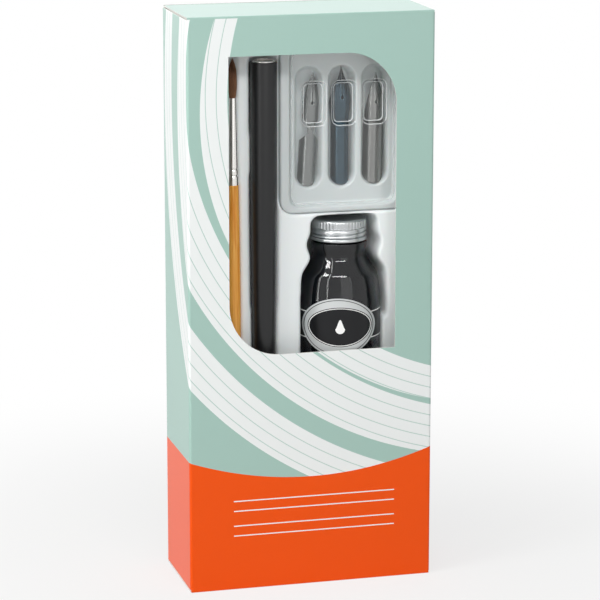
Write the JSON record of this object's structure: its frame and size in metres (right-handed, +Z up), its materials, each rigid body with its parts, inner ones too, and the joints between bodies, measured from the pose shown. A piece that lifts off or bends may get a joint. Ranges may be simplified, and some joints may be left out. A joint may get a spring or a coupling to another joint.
{
  "type": "dip pen set",
  "caption": "Upright folding carton with a window, holding a moulded tray with a brush, a pen holder, nibs under a clear cover and a capped ink bottle.",
  "frame": {"origin": "middle of the carton's underside", "axes": "+X to the right seen from the front, +Y to the back, +Z up"},
  "size_m": [0.078, 0.033, 0.18],
  "materials": {
    "printed_board": "satin",
    "inner_board": "matte",
    "tray_sheet": "matte",
    "clear_sheet": "clear",
    "nib_steel": "polished",
    "blued_steel": "blued",
    "plated_steel": "polished",
    "black_lacquer": "gloss lacquer",
    "honey_lacquer": "gloss lacquer",
    "hair": "natural",
    "bottle_glass": "clear",
    "ink": "liquid",
    "label_paper": "satin",
    "aluminium": "satin",
    "foam": "matte"
  },
  "bodies": {
    "box": {"front_panel": "printed_board", "back_panel": "printed_board", "left_panel": "printed_board", "right_panel": "printed_board", "glue_flap": "inner_board", "main_tray": "tray_sheet", "nib_tray": "tray_sheet", "nib_cover": "clear_sheet", "waisted_nib": "nib_steel", "broad_nib": "blued_steel", "slim_nib": "nib_steel", "brush_handle": "honey_lacquer", "brush_ferrule": "plated_steel", "brush_hair": "hair", "holder_body": "black_lacquer", "holder_ring": "plated_steel", "holder_clip": "nib_steel", "bottle_glass": "bottle_glass", "bottle_ink": "ink", "bottle_label": "label_paper"},
    "top_lid": {"top_panel": "printed_board"},
    "top_tongue": {"top_tuck_tongue": "printed_board"},
    "top_flap_left": {"top_dust_flap_left": "inner_board"},
    "top_flap_right": {"top_dust_flap_right": "inner_board"},
    "bottom_lid": {"bottom_panel": "printed_board"},
    "bottom_tongue": {"bottom_tuck_tongue": "printed_board"},
    "bottom_flap_left": {"bottom_dust_flap_left": "inner_board"},
    "bottom_flap_right": {"bottom_dust_flap_right": "inner_board"},
    "cap_seal": {"cap_liner": "foam"},
    "screw_cap": {"bottle_cap": "aluminium"}
  },
  "joints": [
    {"name": "top_lid_fold", "type": "hinge", "parent": "box", "child": "top_lid", "pos_m": [0, -0.01625, 0.17975], "axis": [1, 0, 0], "range_deg": [0, 180]},
    {"name": "top_tongue_fold", "type": "hinge", "parent": "top_lid", "child": "top_tongue", "pos_m": [0, 0.01545, 0.17975], "axis": [1, 0, 0], "range_deg": [0, 54]},
    {"name": "top_flap_left_fold", "type": "hinge", "parent": "box", "child": "top_flap_left", "pos_m": [-0.03875, 0, 0.179], "axis": [0, -1, 0], "range_deg": [0, 90]},
    {"name": "top_flap_right_fold", "type": "hinge", "parent": "box", "child": "top_flap_right", "pos_m": [0.03875, 0, 0.179], "axis": [0, 1, 0], "range_deg": [0, 90]},
    {"name": "bottom_lid_fold", "type": "hinge", "parent": "box", "child": "bottom_lid", "pos_m": [0, -0.01625, 0.00025], "axis": [-1, 0, 0], "range_deg": [0, 180]},
    {"name": "bottom_tongue_fold", "type": "hinge", "parent": "bottom_lid", "child": "bottom_tongue", "pos_m": [0, 0.01545, 0.00025], "axis": [-1, 0, 0], "range_deg": [0, 54]},
    {"name": "bottom_flap_left_fold", "type": "hinge", "parent": "box", "child": "bottom_flap_left", "pos_m": [-0.03875, 0, 0.001], "axis": [0, 1, 0], "range_deg": [0, 90]},
    {"name": "bottom_flap_right_fold", "type": "hinge", "parent": "box", "child": "bottom_flap_right", "pos_m": [0.03875, 0, 0.001], "axis": [0, -1, 0], "range_deg": [0, 90]},
    {"name": "cap_lift", "type": "slide", "parent": "box", "child": "cap_seal", "axis": [0, 0, 1], "range_m": [0, 0.0007]},
    {"name": "cap_turn", "type": "hinge", "parent": "cap_seal", "child": "screw_cap", "pos_m": [0.01275, -0.00175, 0.11], "axis": [0, 0, 1], "range_deg": [0, 79.4]}
  ],
  "couplings": [
    {"joint": "top_tongue_fold", "follows": "top_lid_fold", "ratio": 0.3},
    {"joint": "top_flap_left_fold", "follows": "top_lid_fold", "ratio": 0.5},
    {"joint": "top_flap_right_fold", "follows": "top_lid_fold", "ratio": 0.5},
    {"joint": "bottom_tongue_fold", "follows": "bottom_lid_fold", "ratio": 0.3},
    {"joint": "bottom_flap_left_fold", "follows": "bottom_lid_fold", "ratio": 0.5},
    {"joint": "bottom_flap_right_fold", "follows": "bottom_lid_fold", "ratio": 0.5},
    {"joint": "cap_turn", "follows": "cap_lift", "rad_per_m": 1979}
  ]
}
